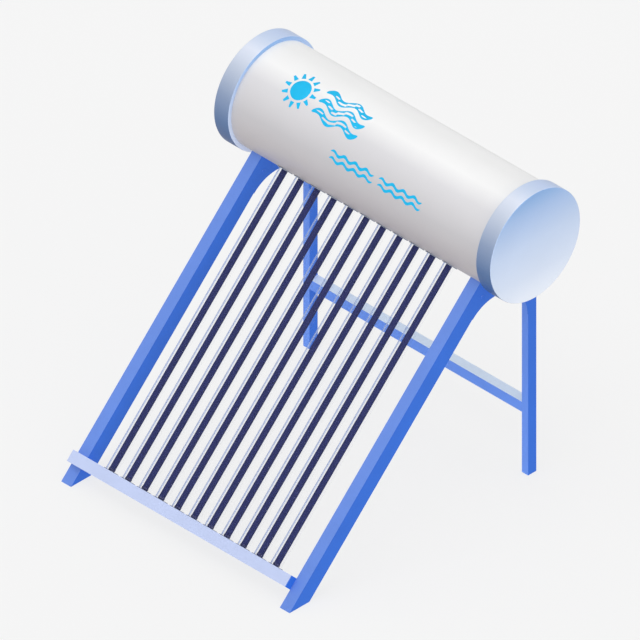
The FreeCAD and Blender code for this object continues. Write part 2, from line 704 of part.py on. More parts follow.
def tube_profile(radius, start, lip):
    """Half section of a closed-ended tube; the lip bends inward at the open end."""
    wall = "dim.glass_wall"
    corners = [
        ("0", start),
        (radius, f"{start} + {radius}"),
        (radius, TUBE_LENGTH),
    ]
    if lip:
        corners += [
            ("dim.absorber_radius", TUBE_LENGTH),
            ("dim.absorber_radius", f"{TUBE_LENGTH} - 2 * {wall}"),
            (f"{radius} - {wall}", f"{TUBE_LENGTH} - 2 * {wall}"),
        ]
    else:
        corners.append((f"{radius} - {wall}", TUBE_LENGTH))
    corners += [
        (f"{radius} - {wall}", f"{start} + {radius}"),
        ("0", f"{start} + {wall}"),
    ]
    return corners, {0: (radius, 1), len(corners) - 2: (f"{radius} - {wall}", -1)}


def turned_on_tube(name, corners, arcs=None):
    """Body turned about its local z from a half section."""
    body = new_body(name)
    section = new_sketch(body, "XZ_Plane")
    outline(section, corners, arcs)
    turned = revolve(body, section, "V_Axis")
    return body, turned


def tube(index):
    """One evacuated tube: clear outer glass fused at its mouth to the coated inner glass."""
    for name, radius, start, lip in (("glass_tube", "dim.tube_radius", "0", True),
                                     ("absorber_tube", "dim.absorber_radius", "dim.absorber_gap", False)):
        label = f"{name}_{index + 1:02d}"
        body, _ = turned_on_tube(label, *tube_profile(radius, start, lip))
        place(body, tube_x(index), *slope_point("dim.tube_tip", "-dim.tube_depth"), ALONG_TUBE)
        finish_piece(body, label)


def ring_row(name, corners, y, z):
    """Eleven like rings, one on each tube axis."""
    body, turned = turned_on_tube(name, corners)
    repeat(body, turned, "X_Axis", "(dim.tube_count - 1) * dim.tube_pitch", "dim.tube_count")
    place(body, tube_x(0), y, z, ALONG_TUBE)
    return finish_piece(body, name)


def flanged_ring(name, radius, flange):
    """Rubber ring in a hole at the given distance from the tank axis, its flange outside."""
    return ring_row(name, [
        (SEAL_BORE, f"-({radius} + {flange})"),
        (FLANGE_RADIUS, f"-({radius} + {flange})"),
        (FLANGE_RADIUS, f"-{radius}"),
        (SEAL_RADIUS, f"-{radius}"),
        (SEAL_RADIUS, f"-({radius} - dim.seal_sleeve)"),
        (SEAL_BORE, f"-({radius} - dim.seal_sleeve)"),
    ], TANK_Y, TANK_Z)


def tail_cups():
    """Cups in the tail rail that the closed ends of the tubes stand in."""
    floor = f"(dim.tube_tip - dim.seat_gap - {RAIL_TOP})"
    bore = "(dim.tube_radius + dim.seat_gap)"
    return ring_row("tail_cups", [
        ("0", f"{floor} - dim.cup_wall"),
        (CUP_RADIUS, f"{floor} - dim.cup_wall"),
        (CUP_RADIUS, "0"),
        (f"{CUP_RADIUS} + dim.cup_wall", "0"),
        (f"{CUP_RADIUS} + dim.cup_wall", "dim.cup_flange"),
        (bore, "dim.cup_flange"),
        (bore, floor),
        ("0", floor),
    ], *slope_point(RAIL_TOP, "-dim.tube_depth"))


# --- Tank -----------------------------------------------------------------------------------

def drum(radius, half_length):
    """Solid cylinder along the tank axis."""
    return rod(radius, f"2 * {half_length}", f"-{half_length}", "0", "0", TO_RIGHT)


def tank_bores(tube_bore, reach):
    """Rods from the tank axis through every tube hole, port and stud hole."""
    tools = []
    for index in range(int(number("dim.tube_count"))):
        tools.append(rod(tube_bore, reach, tube_x(index), "0", "0", DOWN_TUBE))
    for x, z in PORTS.values():
        tools.append(rod("dim.port_radius", reach, x, "0", z, BACKWARD))
    tools.append(rod("dim.port_radius", reach, "dim.drain_side", "dim.drain_back", "0", DOWNWARD))
    return tools


def stud_bores():
    """Upright rods where the two tank studs pass the shell and the insulation."""
    root = "(dim.shell_radius - dim.stud_root)"
    return [rod("dim.bolt_radius", "2 * dim.stud_root", f"{face} + {STUD_X}", "0", f"-{root}", DOWNWARD)
            for face in FLUSH.values()]


def tank_piece(solid, tools, label):
    """Finishes a piece of the tank: bored, and placed on the tank axis."""
    piece = subtract(solid, join(tools), label)
    place(piece, "0", TANK_Y, TANK_Z)
    return finish_piece(piece, label)


def tank():
    """Shell, insulation and inner tank, one inside the other."""
    reach = "(1.2 * dim.shell_radius)"
    inner_radius = "(dim.shell_radius - dim.shell_wall)"
    shell = subtract(drum("dim.shell_radius", SHELL_HALF), drum(inner_radius, SHELL_HALF))
    tank_piece(shell, tank_bores(SEAL_RADIUS, reach) + stud_bores(), "outer_shell")
    foam = subtract(drum(inner_radius, SHELL_HALF), drum(VESSEL_RADIUS, VESSEL_HALF))
    tank_piece(foam, tank_bores(FLANGE_RADIUS, reach) + stud_bores(), "insulation")
    vessel = subtract(drum(VESSEL_RADIUS, VESSEL_HALF),
                      drum(f"({VESSEL_RADIUS} - dim.vessel_wall)", f"({VESSEL_HALF} - dim.vessel_wall)"))
    tank_piece(vessel, tank_bores(SEAL_RADIUS, VESSEL_RADIUS), "inner_tank")


def end_cap(side):
    """Pan over one end of the shell: flat face, rim, and a return down to the shell."""
    body = new_body(f"end_cap_{side}")
    section = new_sketch(body, "XY_Plane")
    outline(section, [
        ("0", "0"),
        ("0", "dim.cap_radius"),
        ("-dim.cap_band", "dim.cap_radius"),
        ("-dim.cap_band", "dim.shell_radius"),
        ("dim.cap_wall - dim.cap_band", "dim.shell_radius"),
        ("dim.cap_wall - dim.cap_band", "dim.cap_radius - dim.cap_wall"),
        ("-dim.cap_wall", "dim.cap_radius - dim.cap_wall"),
        ("-dim.cap_wall", "0"),
    ])
    revolve(body, section, "H_Axis")
    if side == "left":
        place(body, "-dim.tank_length / 2", TANK_Y, TANK_Z, TURNED_ROUND)
    else:
        place(body, "dim.tank_length / 2", TANK_Y, TANK_Z)
    return finish_piece(body, f"end_cap_{side}")


def tank_studs():
    """Studs in the shell that pass the pads and cradles."""
    root = "(dim.shell_radius - dim.stud_root)"
    below = f"({CRADLE_RADIUS} + dim.nut_height + dim.bolt_tail)"
    studs = [rod("dim.bolt_radius", f"{below} - {root}", f"{face} + {STUD_X}", "0", f"-{root}", DOWNWARD)
             for face in FLUSH.values()]
    pieces = group(studs, "tank_studs")
    place(pieces, "0", TANK_Y, TANK_Z)
    return finish_piece(pieces, "tank_studs")


def port(label, reach):
    """Pipe port out of the back of the tank, with a collar outside the shell."""
    x, z = PORTS[label]
    start = f"(sqrt({VESSEL_RADIUS} ^ 2 - ({z}) ^ 2) - dim.port_dip)"
    pipe = rod("dim.port_radius", f"{reach} - {start}", x, start, z, BACKWARD)
    collar = hexagon("dim.port_collar", "dim.collar_height", x, "dim.shell_radius", z, BACKWARD)
    mouth = rod("dim.port_bore", f"{reach} - dim.shell_radius", x, "dim.shell_radius", z, BACKWARD)
    neck = rod("dim.port_bore + dim.bore_step", f"dim.shell_radius - {start}", x, start, z, BACKWARD)
    piece = subtract(join([pipe, collar]), join([neck, mouth]), label)
    place(piece, "0", TANK_Y, TANK_Z)
    return finish_piece(piece, label)


def vent_cap():
    """Cap on the air vent, with a small breathing hole."""
    x, z = PORTS["air_vent"]
    start = "(dim.port_reach - dim.vent_cap_length)"
    outside = rod("dim.port_radius + dim.vent_cap_wall", "dim.vent_cap_length", x, start, z, BACKWARD)
    socket = rod("dim.port_radius", "dim.vent_cap_length - dim.vent_cap_wall", x, start, z, BACKWARD)
    hole = rod("dim.vent_hole", "dim.vent_cap_length", x, start, z, BACKWARD)
    cap = subtract(outside, join([socket, hole]), "vent_cap")
    place(cap, "0", TANK_Y, TANK_Z)
    return finish_piece(cap, "vent_cap")


# --- Drain valve ------------------------------------------------------------------------------

def ball(radius, turn=LEVEL):
    """Sphere; the turn takes its poles off the Z axis."""
    sphere = document.addObject("Part::Sphere", "ball")
    sphere.setExpression("Radius", radius)
    place(sphere, turn=turn)
    return sphere


def on_drain(piece, label):
    """Places a piece of the drain valve about the middle of its ball."""
    place(piece, "dim.drain_side", f"{TANK_Y} + dim.drain_back", f"{TANK_Z} - dim.drain_drop")
    return finish_piece(piece, label)


def drain_pipe():
    """Pipe from the bottom of the inner tank down to the valve."""
    top = f"(dim.drain_drop - sqrt({VESSEL_RADIUS} ^ 2 - dim.drain_back ^ 2) + dim.port_dip)"
    start = "(dim.valve_length / 2)"
    outside = rod("dim.port_radius", f"{top} - {start}", "0", "0", start)
    inside = rod("dim.port_bore + dim.bore_step", f"{top} - {start}", "0", "0", start)
    return on_drain(subtract(outside, inside, "drain_pipe"), "drain_pipe")


def drain_valve_body():
    """Valve body with its hose nozzle and the boss that the stem turns in."""
    half = "(dim.valve_length / 2)"
    barrel = rod("dim.valve_radius", "dim.valve_length", "0", "0", f"-{half}")
    nozzle = rod("dim.port_radius", "dim.nozzle_length", "0", "0", f"-({half} + dim.nozzle_length)")
    boss = rod("dim.boss_radius", "dim.boss_reach", "0", "0", "0", BACKWARD)
    foot = "(dim.ball_radius + dim.ball_room)"
    outlet = rod("dim.port_bore", f"{half} + dim.nozzle_length - {foot}", "0", "0",
                 f"-({half} + dim.nozzle_length)")
    inlet = rod("dim.port_bore + dim.bore_step", f"{half} + {foot}", "0", "0", f"-{foot}")
    stem_hole = rod("dim.stem_radius + dim.running_fit", "dim.boss_reach", "0", "0", "0", BACKWARD)
    hollow = join([inlet, outlet, ball("dim.ball_radius + dim.running_fit"), stem_hole])
    valve = subtract(join([barrel, nozzle, boss]), hollow, "drain_valve_body")
    return on_drain(valve, "drain_valve_body")


def drain_valve_ball():
    """Ball with its bore across the pipe, which is the closed position."""
    bore = rod("dim.port_bore", "2 * dim.ball_radius", "-dim.ball_radius", "0", "0", TO_RIGHT)
    socket = rod("dim.stem_radius", "dim.ball_radius", "0", STEM_FOOT, "0", BACKWARD)
    bored = subtract(ball("dim.ball_radius", TO_RIGHT), bore, "bored_ball")
    return on_drain(subtract(bored, socket, "drain_valve_ball"), "drain_valve_ball")


def drain_valve_stem():
    stem = rod("dim.stem_radius", f"dim.stem_reach - {STEM_FOOT}", "0", STEM_FOOT, "0", BACKWARD)
    holder = group([stem], "drain_valve_stem")
    return on_drain(holder, "drain_valve_stem")


def drain_valve_handle():
    """Flat lever on the stem; it lies across the pipe when the valve is closed."""
    base = "(dim.boss_reach + dim.handle_gap)"
    lever = block("dim.handle_length - dim.handle_width / 2", "dim.handle_wall", "dim.handle_width",
                  "0", base, "-dim.handle_width / 2")
    eye = rod("dim.handle_width / 2", "dim.handle_wall", "0", base, "0", BACKWARD)
    tip = rod("dim.handle_width / 2", "dim.handle_wall", "dim.handle_length - dim.handle_width / 2",
              base, "0", BACKWARD)
    hole = rod("dim.stem_radius", "dim.handle_wall", "0", base, "0", BACKWARD)
    return on_drain(subtract(join([lever, eye, tip]), hole, "drain_valve_handle"), "drain_valve_handle")


def drain_valve_nut():
    """Nut that holds the handle on the stem."""
    start = "(dim.boss_reach + dim.handle_gap + dim.handle_wall)"
    height = f"dim.stem_reach - {start}"
    outside = hexagon("dim.handle_nut", height, "0", start, "0", BACKWARD)
    inside = rod("dim.stem_radius", height, "0", start, "0", BACKWARD)
    return on_drain(subtract(outside, inside, "drain_valve_nut"), "drain_valve_nut")


# --- Assembly ---------------------------------------------------------------------------------

for side in FLUSH:
    front_leg(side)
    rear_leg(side)
    saddle(side)
    saddle_pad(side)
    rail_bracket(side)
    end_cap(side)
    foot_plate("front", side)
    foot_plate("rear", side)
rear_crossbar()
crossbar_cleats()
tail_rail()
tail_cups()
frame_fasteners()
tank()
flanged_ring("tube_seals", VESSEL_RADIUS, "dim.seal_flange")
flanged_ring("dust_rings", "dim.shell_radius", "dim.dust_flange")
tank_studs()
port("cold_inlet", "dim.port_reach")
port("hot_outlet", "dim.port_reach")
port("air_vent", "(dim.port_reach - dim.vent_cap_wall)")
vent_cap()
drain_pipe()
drain_valve_body()
drain_valve_ball()
drain_valve_stem()
drain_valve_handle()
drain_valve_nut()
for index in range(int(number("dim.tube_count"))):
    tube(index)

document.recompute()
failed = [item.Label for item in document.Objects if {"Invalid", "Error"} & set(item.State)]
failed += [item.Label for item in PIECES if item.Shape.isNull() or not item.Shape.isValid()]
if failed:
    raise RuntimeError("not built: " + ", ".join(failed))

os.makedirs("parts", exist_ok=True)
for item in PIECES:
    item.Shape.exportStep(f"parts/{item.Label}.step")
print(len(PIECES), "sub-parts written")
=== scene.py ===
# %% [markdown]
# # Solar water heater
# Sunlight warms a row of evacuated glass tubes. Warm water rises out of them into the
# insulated tank above, and cooler water sinks back: there is no pump. Everything stands on a
# bolted steel stand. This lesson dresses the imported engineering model: the frame gives every
# place, size and joint, and Blender adds rounded edges, glass, rubber, threads and finishes.

# %% Load the frame
import json

import bmesh
import bpy
import numpy as np
from mathutils import Matrix, Vector


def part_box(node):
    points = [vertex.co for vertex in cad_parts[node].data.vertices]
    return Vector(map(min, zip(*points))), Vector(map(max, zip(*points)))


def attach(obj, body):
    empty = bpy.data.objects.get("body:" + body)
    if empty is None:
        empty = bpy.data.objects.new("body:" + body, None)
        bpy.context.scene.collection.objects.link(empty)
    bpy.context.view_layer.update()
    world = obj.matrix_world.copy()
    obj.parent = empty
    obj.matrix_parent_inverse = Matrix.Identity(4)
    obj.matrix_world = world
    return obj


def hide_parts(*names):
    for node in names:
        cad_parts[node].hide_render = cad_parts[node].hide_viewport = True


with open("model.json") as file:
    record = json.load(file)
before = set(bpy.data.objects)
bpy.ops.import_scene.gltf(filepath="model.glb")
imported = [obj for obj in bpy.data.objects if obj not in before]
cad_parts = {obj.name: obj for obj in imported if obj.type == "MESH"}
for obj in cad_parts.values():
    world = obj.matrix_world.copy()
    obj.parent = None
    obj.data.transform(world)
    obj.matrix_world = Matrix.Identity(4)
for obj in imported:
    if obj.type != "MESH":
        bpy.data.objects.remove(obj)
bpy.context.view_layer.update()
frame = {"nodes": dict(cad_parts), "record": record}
nodes = frame["nodes"]
joints = frame["record"]["behaviour"]["joints"]

# %% [markdown]
# ## Measurements
# The tank axis is the middle of an end cap. A tube's axis comes from its joint, because it
# slides along it, and its round closed end touches the low sides of its box.

# %% Measure the tank and the tubes
TUBES = sum(name.startswith("glass_tube") for name in nodes)
cap_low, cap_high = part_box("end_cap_right")
shell_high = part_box("outer_shell")[1]
tank_centre = Vector((0, (cap_low.y + cap_high.y) / 2, (cap_low.z + cap_high.z) / 2))
cap_radius = (cap_high.z - cap_low.z) / 2
shell_radius = shell_high.z - tank_centre.z
slope = Vector(joints[0]["axis"]).normalized()


def tube_ends(node):
    """Middle of a tube's round end, middle of its open mouth, and its radius."""
    low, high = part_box(node)
    radius = (high.x - low.x) / 2
    x = (low.x + high.x) / 2
    bottom = Vector((x, low.y + radius, low.z + radius))
    mouth = Vector((x, high.y - radius * slope.z, high.z - radius * slope.y))
    return bottom, mouth, radius


print("tank axis", tuple(round(v, 4) for v in tank_centre), "shell radius", round(shell_radius, 4))

# %% [markdown]
# ## Camera
# The heater is seen in true isometric: the camera looks down the diagonal of a cube, with no
# perspective, so that edges along X, Y and Z make equal angles and equal lengths.

# %% Camera
VIEW_WIDTH, STAND_OFF = 2.312, 6
AIM_RIGHT, AIM_UP = 0.9353, 0.5831  # middle of the view, from the toe of the left front leg
view_right = Vector((1, 1, 0)).normalized()
view_up = Vector((-1, 1, 2)).normalized()
view_back = view_right.cross(view_up)
toe = Vector((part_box("front_leg_left")[0].x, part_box("front_leg_left")[0].y, 0))
aim = toe + AIM_RIGHT * view_right + AIM_UP * view_up
camera_data = bpy.data.cameras.new("isometric_camera")
camera_data.type = "ORTHO"
camera_data.ortho_scale = VIEW_WIDTH
camera_data.clip_end = 10 * STAND_OFF
camera = bpy.data.objects.new("isometric_camera", camera_data)
look = Matrix((view_right, view_up, view_back)).transposed()
camera.matrix_world = Matrix.Translation(aim + STAND_OFF * view_back) @ look.to_4x4()
bpy.context.scene.collection.objects.link(camera)
bpy.context.scene.camera = camera
print("camera aims at", tuple(round(v, 3) for v in aim))

# %% [markdown]
# ## Light
# A soft key light stands high in front and gives the only clear shadow. Three broad fills from
# above, the front and the right add nothing but an even tone, as studio screens do. The sky is
# a little brighter above than below, and what the camera sees of it is one plain tone.


# %% Light helpers
def linear(text):
    """sRGB hex to linear RGB: below 0.04045 divide by 12.92, above it a power of 2.4."""
    srgb = np.array([int(text[i:i + 2], 16) for i in (1, 3, 5)]) / 255
    values = np.where(srgb <= 0.04045, srgb / 12.92, ((srgb + 0.055) / 1.055) ** 2.4)
    return (*values.tolist(), 1.0)


def add_node(tree, kind, links=None, **settings):
    """Adds a node, sets its properties and inputs, and links its inputs to other outputs."""
    node = tree.nodes.new(kind)
    for key, value in settings.items():
        if hasattr(node, key):
            setattr(node, key, value)
        else:
            node.inputs[key.replace("_", " ")].default_value = value
    for socket, source in (links or {}).items():
        tree.links.new(source, node.inputs[socket])
    return node


def sun(name, towards, strength, shadow=False):
    """Distant white light that shines along a direction and is SOFTNESS degrees wide."""
    data = bpy.data.lights.new(name, "SUN")
    data.energy = strength
    data.angle = np.radians(SOFTNESS)
    data.use_shadow = shadow
    light = bpy.data.objects.new(name, data)
    light.rotation_euler = Vector(towards).to_track_quat("-Z", "Y").to_euler()
    bpy.context.scene.collection.objects.link(light)


# %% Lights and sky
SOFTNESS = 40
FROM_ABOVE, FROM_FRONT, FROM_RIGHT = (0.05, 0.31, -0.95), (0, 1, 0), (-1, 0, -0.1)
SKY_LOW, SKY_HIGH, BACKDROP = 0.55, 0.72, 0.913
sun("key", FROM_ABOVE, 0.45, shadow=True)
sun("top_fill", FROM_ABOVE, 0.45)
sun("front_fill", FROM_FRONT, 0.65)
sun("side_fill", FROM_RIGHT, 1.2)
world = bpy.data.worlds.new("studio")
bpy.context.scene.world = world
world.use_nodes = True
sky = world.node_tree
sky.nodes.clear()
direction = add_node(sky, "ShaderNodeTexCoord")
parts = add_node(sky, "ShaderNodeSeparateXYZ", {"Vector": direction.outputs["Generated"]})
height = add_node(sky, "ShaderNodeMapRange", {"Value": parts.outputs["Z"]},
                  From_Min=-0.4, From_Max=0.5, To_Min=SKY_LOW, To_Max=SKY_HIGH)
seen = add_node(sky, "ShaderNodeLightPath")
plain = add_node(sky, "ShaderNodeMix", {"Factor": seen.outputs["Is Camera Ray"],
                                        "A": height.outputs["Result"]}, B=BACKDROP)
dome = add_node(sky, "ShaderNodeBackground", {"Color": plain.outputs["Result"]})
add_node(sky, "ShaderNodeOutputWorld", {"Surface": dome.outputs["Background"]})
bpy.context.scene.view_settings.view_transform = "Standard"
print("lights:", [light.name for light in bpy.data.lights])

# %% [markdown]
# ## Floor
# The floor is a sheet of studio paper. It glows a little by itself, so it stays as pale as the
# backdrop and only the soft shadow under the heater shows on it. It is hidden from bounced and
# mirrored rays, so it doesn't light the heater from below.

# %% Floor
FLOOR_HALF, PAPER_GREY, PAPER_GLOW = 30, 0.16, 0.75
corners = FLOOR_HALF * np.array([(-1, -1, 0), (1, -1, 0), (1, 1, 0), (-1, 1, 0)])
floor_mesh = bpy.data.meshes.new("floor")
floor_mesh.from_pydata(corners.tolist(), [], [(0, 1, 2, 3)])
floor = bpy.data.objects.new("floor", floor_mesh)
bpy.context.scene.collection.objects.link(floor)
floor_material = bpy.data.materials.new("floor")
floor_material.use_nodes = True
floor_tree = floor_material.node_tree
floor_tree.nodes.clear()
paper = add_node(floor_tree, "ShaderNodeBsdfPrincipled", Base_Color=(*[PAPER_GREY] * 3, 1), Roughness=1.0,
                 Specular_IOR_Level=0.0, Emission_Color=(1, 1, 1, 1), Emission_Strength=PAPER_GLOW)
add_node(floor_tree, "ShaderNodeOutputMaterial", {"Surface": paper.outputs["BSDF"]})
floor_mesh.materials.append(floor_material)
floor.visible_diffuse = False
floor.visible_glossy = False
print("floor", 2 * FLOOR_HALF, "m wide")

# %% [markdown]
# ## Finishes
# Each finish is a small node tree on one Principled shader. Patterns are worked out in Object
# coordinates, which are metres here, so the scale of a noise is one over the size of its grain.


# %% Finish helpers
def finish_base(name, colour, roughness, metallic=0.0, **settings):
    """A finish of one colour, roughness and metallic value; returns its material, tree and shader."""
    material = bpy.data.materials.new(name)
    material.use_nodes = True
    tree = material.node_tree
    tree.nodes.clear()
    shader = add_node(tree, "ShaderNodeBsdfPrincipled", Base_Color=linear(colour), Roughness=roughness,
                      Metallic=metallic, **settings)
    add_node(tree, "ShaderNodeOutputMaterial", {"Surface": shader.outputs["BSDF"]})
    return material, tree, shader


def grain(tree, size_mm, detail=2.0, stretch=(1, 1, 1)):
    """Noise whose blotches are about size_mm across, drawn out along the axes with small stretch."""
    place = add_node(tree, "ShaderNodeTexCoord")
    stretched = add_node(tree, "ShaderNodeMapping", {"Vector": place.outputs["Object"]}, Scale=stretch)
    return add_node(tree, "ShaderNodeTexNoise", {"Vector": stretched.outputs["Vector"]},
                    Scale=1000 / size_mm, Detail=detail, Roughness=0.55).outputs["Fac"]


def spread(tree, value, low, high, start=0.3, stop=0.7, clamp=True):
    """Maps a value from start..stop to low..high, and holds it there unless clamp is off."""
    return add_node(tree, "ShaderNodeMapRange", {"Value": value}, clamp=clamp, From_Min=start,
                    From_Max=stop, To_Min=low, To_Max=high).outputs["Result"]


def relief(tree, shader, height, depth_mm):
    """Bump from a height, with its depth in millimetres."""
    bump = add_node(tree, "ShaderNodeBump", {"Height": height}, Strength=1.0, Distance=depth_mm / 1000)
    tree.links.new(bump.outputs["Normal"], shader.inputs["Normal"])


def colours(tree, value, stops):
    """Colour ramp over a value; stops are (position, sRGB hex) pairs."""
    ramp = add_node(tree, "ShaderNodeValToRGB", {"Fac": value})
    while len(ramp.color_ramp.elements) < len(stops):
        ramp.color_ramp.elements.new(0.5)
    for element, (position, text) in zip(ramp.color_ramp.elements, stops):
        element.position = position
        element.color = linear(text)
    return ramp.outputs["Color"]


def clouded(tree, shader, colour, size_mm, depth):
    """Base colour, made up to a share darker and lighter by slow noise, as real coats are."""
    cloud = spread(tree, grain(tree, size_mm, detail=3), 1 - depth, 1 + depth)
    tinted = add_node(tree, "ShaderNodeVectorMath", {0: colour, "Scale": cloud}, operation="SCALE")
    tree.links.new(tinted.outputs["Vector"], shader.inputs["Base Color"])


def worn(tree, shader, size_mm, low, high, depth_mm, stretch=(1, 1, 1)):
    """Roughness and a shallow relief from the same grain."""
    noise = grain(tree, size_mm, stretch=stretch)
    tree.links.new(spread(tree, noise, low, high), shader.inputs["Roughness"])
    relief(tree, shader, noise, depth_mm)


def coat(name, colour, roughness, size_mm, depth_mm, metallic=0.0, cloud_mm=120, stretch=(1, 1, 1),
         **settings):
    """A plain finish: clouded colour, with roughness and relief from one grain."""
    material, tree, shader = finish_base(name, colour, roughness, metallic, **settings)
    base = add_node(tree, "ShaderNodeRGB")
    base.outputs["Color"].default_value = linear(colour)
    clouded(tree, shader, base.outputs["Color"], cloud_mm, 0.04)
    worn(tree, shader, size_mm, roughness * 0.85, roughness * 1.2, depth_mm, stretch)
    return material

# %% [markdown]
# ## Surfaces
# Every new piece is a grid of points. A turned piece carries a profile round an axis, and the
# corners of the profile are softened first: real edges are never perfectly sharp, and the
# highlight along them is what makes a part look made.


# %% Surface helpers
def new_piece(name, mesh, crease=35):
    """Object for a mesh, smooth but for edges sharper than the crease angle in degrees."""
    mesh.polygons.foreach_set("use_smooth", np.ones(len(mesh.polygons), bool))
    mesh.set_sharp_from_angle(angle=np.radians(crease))
    piece = bpy.data.objects.new(name, mesh)
    bpy.context.scene.collection.objects.link(piece)
    return piece


def cleaned(mesh, flatten=False):
    """Merges points that meet, turns faces outward and, if asked, joins faces that are level."""
    work = bmesh.new()
    work.from_mesh(mesh)
    bmesh.ops.remove_doubles(work, verts=work.verts, dist=1e-6)
    if flatten:
        bmesh.ops.dissolve_limit(work, angle_limit=np.radians(0.5), verts=work.verts, edges=work.edges)
    bmesh.ops.recalc_face_normals(work, faces=work.faces)
    work.to_mesh(mesh)
    work.free()
    return mesh


def skin(name, grid, closed_rows=False, closed_columns=True):
    """Surface through a grid of points; a quad joins rows i, i+1 and columns j, j+1."""
    rows, columns = grid.shape[:2]
    i = np.arange(rows if closed_rows else rows - 1)[:, None]
    j = np.arange(columns if closed_columns else columns - 1)[None, :]
    corners = [(i, j), (i, j + 1), (i + 1, j + 1), (i + 1, j)]
    quads = np.stack([(a % rows) * columns + b % columns for a, b in corners], axis=-1)
    mesh = bpy.data.meshes.new(name)
    mesh.from_pydata(grid.reshape(-1, 3).tolist(), [], quads.reshape(-1, 4).tolist())
    return new_piece(name, cleaned(mesh))


def soft(corners, radius, closed=False, steps=4):
    """Rounds a profile's corners with the curve (1-s)^2 before + 2s(1-s) corner + s^2 after."""
    points = np.array(corners, float)
    sides = [np.roll(points, shift, axis=0) - points for shift in (1, -1)]
    lengths = [np.linalg.norm(side, axis=1, keepdims=True) for side in sides]
    before, after = (points + side / length * np.minimum(radius, 0.45 * length)
                     for side, length in zip(sides, lengths))
    s = np.linspace(0, 1, steps + 1)[None, :, None]
    curve = (1 - s) ** 2 * before[:, None] + 2 * s * (1 - s) * points[:, None] + s ** 2 * after[:, None]
    if closed:
        return curve.reshape(-1, 2)
    return np.concatenate([points[:1], curve[1:-1].reshape(-1, 2), points[-1:]])


def swept(centre, axis, radius, along, turn):
    """Points centre + along * axis + radius * (side cos turn + over sin turn), as one grid."""
    axis = Vector(axis).normalized()
    side = axis.orthogonal().normalized()
    over = axis.cross(side)
    ring = np.cos(turn)[..., None] * np.array(side) + np.sin(turn)[..., None] * np.array(over)
    return np.array(centre) + along[..., None] * np.array(axis) + radius[..., None] * ring


def turned(name, profile, centre, axis, closed=False, segments=96):
    """Surface of revolution of (radius, distance along the axis) points."""
    radius, along = np.asarray(profile, float).T[:, :, None]
    turn = np.arange(segments)[None, :] * 2 * np.pi / segments
    return skin(name, swept(centre, axis, radius, along, turn), closed_rows=closed)


def rounded_end(radius, steps=14):
    """Quarter circle from a pole on the axis to the full radius: (r sin a, -r cos a)."""
    a = np.linspace(0, np.pi / 2, steps)
    return np.stack([radius * np.sin(a), -radius * np.cos(a)], axis=1)


def eased(name, node, width, steps=2):
    """An engineering node's shape with its sharp edges rounded to a width in metres."""
    mesh = cleaned(nodes[node].data.copy(), flatten=True)
    mesh.materials.clear()
    piece = new_piece(name, mesh)
    bevel = piece.modifiers.new("eased_edges", "BEVEL")
    bevel.width = width
    bevel.segments = steps
    bevel.limit_method = "ANGLE"
    bevel.angle_limit = np.radians(30)
    bevel.harden_normals = True
    return piece


def dress(piece, material, body, *replaced, slot=None):
    """Gives a piece its finish and body, and hides the nodes it stands for; slot is not used."""
    piece.data.materials.clear()
    piece.data.materials.append(material)
    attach(piece, body)
    if replaced:
        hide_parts(*replaced)
    return piece


def repaint(material, *names):
    """Puts a finish on engineering nodes that keep their own shape."""
    for name in names:
        nodes[name].data.materials.clear()
        nodes[name].data.materials.append(material)

# %% [markdown]
# ## Stand
# The legs and rails are folded from 2.5 mm sheet, and like their brackets and saddles they are
# powder coated: the powder melts into a skin with a faint orange peel. Their bends and holes are
# already in the engineering model, so each piece is a copy of it with a small bevel, which is
# surer than drawing them again. The paint asks which way a surface faces before it picks its
# colour, and that colour is painted light: faces that look straight up or ahead are paler, a
# painted highlight, and faces that look to the right are darker, a painted shade.


# %% Powder coat
MIX_A, MIX_B, MIX_RESULT = 6, 7, 2  # the colour sockets of a Mix node


def face_shaded_powder_coat(name, slope_tone, ahead, side, top):
    """Paint that is one colour on slopes and others as painted light: paler on faces that look ahead and
    straight up, darker on faces that look across.
    """
    material, tree, shader = finish_base(name, slope_tone, 0.45, Specular_IOR_Level=0.3)
    where = add_node(tree, "ShaderNodeNewGeometry")
    parts = add_node(tree, "ShaderNodeSeparateXYZ", {"Vector": where.outputs["Normal"]})
    base = add_node(tree, "ShaderNodeRGB")
    base.outputs["Color"].default_value = linear(slope_tone)
    tone = base.outputs["Color"]
    # painted light by facing: paler ahead and on top, darker across to the right
    for axis, sign, colour in (("Y", -1, ahead), ("X", 1, side), ("Z", 1, top)):
        share = spread(tree, parts.outputs[axis], 0, 1, start=0.8 * sign, stop=0.98 * sign)
        mixed = add_node(tree, "ShaderNodeMix", {"Factor": share, MIX_A: tone}, data_type="RGBA")
        mixed.inputs[MIX_B].default_value = linear(colour)
        tone = mixed.outputs[MIX_RESULT]
    clouded(tree, shader, tone, 150, 0.03)
    worn(tree, shader, 6, 0.4, 0.52, 0.03)
    return material


# %% Stand pieces
# tones: slopes, then painted light ahead, painted shade on the right side, painted highlight on top
frame_paint = face_shaded_powder_coat("frame_paint", "#6387d8", "#6d9bfb", "#2d6ad3", "#dcecff")
rail_paint = face_shaded_powder_coat("rail_paint", "#bac6e8", "#c6d2f4", "#4674c9", "#d3def9")
SHEET_EDGE = 0.0007  # the small round that a laser cut keeps once the powder has flowed
for name in nodes:
    if name.startswith(("front_leg", "rear_leg", "saddle_left", "saddle_right", "rail_bracket",
                        "crossbar_cleats", "rear_crossbar")):
        dress(eased(f"painted_{name}", name, SHEET_EDGE), frame_paint, "heater", name)
dress(eased("painted_tail_rail", "tail_rail", SHEET_EDGE), rail_paint, "heater", "tail_rail")

# %% [markdown]
# ## Zinc, rubber and feet
# Zinc plating shows as soft crystals, each of a slightly different grey. A Voronoi pattern
# gives every crystal its own value, and works on every nut without unwrapping it, as a painted
# pattern could not. The pads between the saddles and the shell are matt black rubber.


# %% Zinc and rubber
CRYSTAL = 0.0025  # metres across a crystal, a coarse one so that it shows


